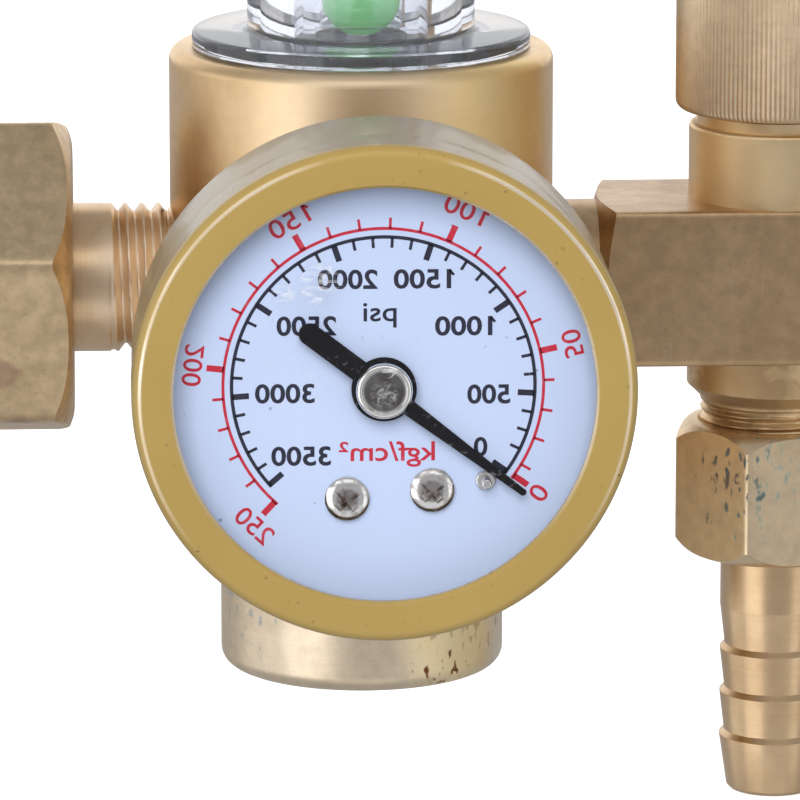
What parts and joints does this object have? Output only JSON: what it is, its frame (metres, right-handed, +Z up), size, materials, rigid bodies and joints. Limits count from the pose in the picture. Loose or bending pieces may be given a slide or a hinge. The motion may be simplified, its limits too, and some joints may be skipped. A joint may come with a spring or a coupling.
{
  "type": "argon flowmeter regulator",
  "caption": "Brass gas regulator with a round pressure gauge in front, a clear flow tube with a ball on top, a needle valve with a knurled knob and a hose barb.",
  "frame": {"origin": "middle of the inlet nut's thread, on the common axis of inlet and outlet", "axes": "-X out of the inlet into the cylinder valve, +Z up along the flow tube, -Y towards the viewer of the dial"},
  "size_m": [0.1196, 0.0718, 0.1464],
  "materials": {
    "body_brass": "satin turned",
    "cap_brass": "turned, tarnished",
    "arm_brass": "forged and milled",
    "knob_brass": "knurled",
    "nut_brass": "milled",
    "inner_brass": "machined",
    "gauge_gold": "gloss",
    "clear": "clear",
    "window": "clear",
    "ball_green": "gloss",
    "dial": "satin",
    "pointer_black": "satin",
    "bright": "bright",
    "rubber": "matt",
    "fibre": "matt",
    "copper": "satin",
    "nylon": "matt",
    "steel": "satin",
    "bronze": "sintered"
  },
  "bodies": {
    "regulator": {"body": "body_brass", "bottom_cap": "cap_brass", "cap_gasket": "fibre", "seat_nozzle": "inner_brass", "regulating_spring": "steel", "inlet_nipple": "nut_brass", "inlet_filter": "bronze", "gauge_washer": "copper", "gauge_stem": "inner_brass", "gauge_case": "gauge_gold", "gauge_bezel": "gauge_gold", "gauge_lens": "window", "lens_gasket": "rubber", "gauge_dial": "dial", "dial_screws": "bright", "stop_pin": "bright", "bourdon_tube": "inner_brass", "tube_tip": "inner_brass", "hairspring": "steel", "back_plate": "inner_brass", "front_plate": "inner_brass", "plate_pillars": "inner_brass", "clear_cover": "clear", "cover_seal": "rubber", "metering_tube": "clear", "tube_seal": "rubber", "ball_stop": "nylon", "valve_body": "arm_brass", "gland_nut": "knob_brass", "union_nut": "nut_brass", "outlet_washer": "fibre", "hose_barb": "cap_brass"},
    "inlet_nut": {"inlet_nut": "nut_brass"},
    "pointer": {"pointer": "pointer_black", "pointer_hub": "bright", "pinion": "inner_brass"},
    "sector": {"sector_gear": "inner_brass"},
    "link": {"end_link": "inner_brass"},
    "needle": {"needle_stem": "steel", "needle_seal": "rubber"},
    "knob": {"flow_knob": "knob_brass", "knob_screw": "steel"},
    "ball": {"ball_float": "ball_green"},
    "piston": {"piston": "inner_brass", "seat_pad": "nylon", "piston_seal": "rubber", "stem_seal": "rubber"}
  },
  "joints": [
    {"name": "inlet_nut_spin", "type": "hinge", "parent": "regulator", "child": "inlet_nut", "pos_m": [0.018, 0, 0], "axis": [1, 0, 0], "continuous": true},
    {"name": "pointer_turn", "type": "hinge", "parent": "regulator", "child": "pointer", "pos_m": [0.053, -0.045, 0], "axis": [0, -1, 0], "range_deg": [0, 257.5], "deforming": ["hairspring"]},
    {"name": "sector_turn", "type": "hinge", "parent": "regulator", "child": "sector", "pos_m": [0.053, -0.0451, -0.009], "axis": [0, -1, 0], "range_deg": [-51.5, 0]},
    {"name": "link_turn", "type": "hinge", "parent": "sector", "child": "link", "pos_m": [0.0515, -0.0457, -0.0116], "axis": [0, -1, 0], "range_deg": [0, 51.5]},
    {"name": "needle_lift", "type": "slide", "parent": "regulator", "child": "needle", "axis": [0, 0, 1], "range_m": [0, 0.0025]},
    {"name": "knob_turn", "type": "hinge", "parent": "needle", "child": "knob", "pos_m": [0.0924, 0, 0.02], "axis": [0, 0, 1], "range_deg": [0, 900]},
    {"name": "ball_rise", "type": "slide", "parent": "regulator", "child": "ball", "axis": [0, 0, 1], "range_m": [0, 0.054]},
    {"name": "piston_lift", "type": "slide", "parent": "regulator", "child": "piston", "axis": [0, 0, 1], "range_m": [0, 0.00045], "deforming": ["regulating_spring"]}
  ],
  "couplings": [
    {"joint": "sector_turn", "follows": "pointer_turn", "ratio": -0.2},
    {"joint": "link_turn", "follows": "pointer_turn", "ratio": 0.2},
    {"joint": "knob_turn", "follows": "needle_lift", "rad_per_m": 6283.2}
  ]
}
